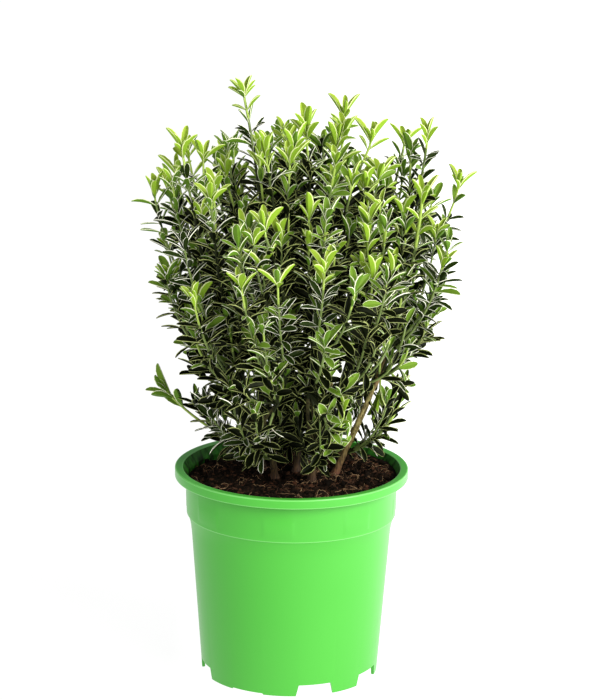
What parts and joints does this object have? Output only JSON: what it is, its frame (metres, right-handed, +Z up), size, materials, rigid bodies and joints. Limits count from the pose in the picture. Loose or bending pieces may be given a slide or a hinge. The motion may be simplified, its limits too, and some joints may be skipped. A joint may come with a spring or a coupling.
{
  "type": "potted box-leaf euonymus",
  "caption": "Young bushy shrub with upright leafy shoots and small cream-edged leaves, growing in soil in a round moulded pot with a collar and a notched foot.",
  "frame": {"origin": "centre of the flat pad under the pot, on the ground that the pot stands on", "axes": "+Z up, -Y towards the viewer of the picture, +X to the viewer's right"},
  "size_m": [0.2817, 0.2758, 0.4938],
  "materials": {
    "pot": "glossy moulded light green plastic",
    "soil": "dark moist peat and bark substrate",
    "bark": "brown young bark with fine lengthwise ridges",
    "foliage": "leathery dark green leaves with cream edges, lime at the shoot tips"
  },
  "bodies": {
    "root": {"pot": "pot", "soil": "soil", "stem_middle": "bark", "bough_middle": "bark", "foliage_middle": "foliage", "stem_1": "bark", "bough_1_left": "bark", "bough_1_right": "bark", "bough_1_inner": "bark", "foliage_1_left": "foliage", "foliage_1_right": "foliage", "foliage_1_inner": "foliage", "foliage_1_skirt": "foliage", "stem_2": "bark", "bough_2_left": "bark", "bough_2_right": "bark", "bough_2_inner": "bark", "foliage_2_left": "foliage", "foliage_2_right": "foliage", "foliage_2_inner": "foliage", "foliage_2_skirt": "foliage", "stem_3": "bark", "bough_3_left": "bark", "bough_3_right": "bark", "bough_3_inner": "bark", "foliage_3_left": "foliage", "foliage_3_right": "foliage", "foliage_3_inner": "foliage", "foliage_3_skirt": "foliage", "stem_4": "bark", "bough_4_left": "bark", "bough_4_right": "bark", "bough_4_inner": "bark", "foliage_4_left": "foliage", "foliage_4_right": "foliage", "foliage_4_inner": "foliage", "foliage_4_skirt": "foliage", "stem_5": "bark", "bough_5_left": "bark", "bough_5_right": "bark", "bough_5_inner": "bark", "foliage_5_left": "foliage", "foliage_5_right": "foliage", "foliage_5_inner": "foliage", "foliage_5_skirt": "foliage", "stem_6": "bark", "bough_6_left": "bark", "bough_6_right": "bark", "bough_6_inner": "bark", "foliage_6_left": "foliage", "foliage_6_right": "foliage", "foliage_6_inner": "foliage", "foliage_6_skirt": "foliage"}
  },
  "joints": []
}
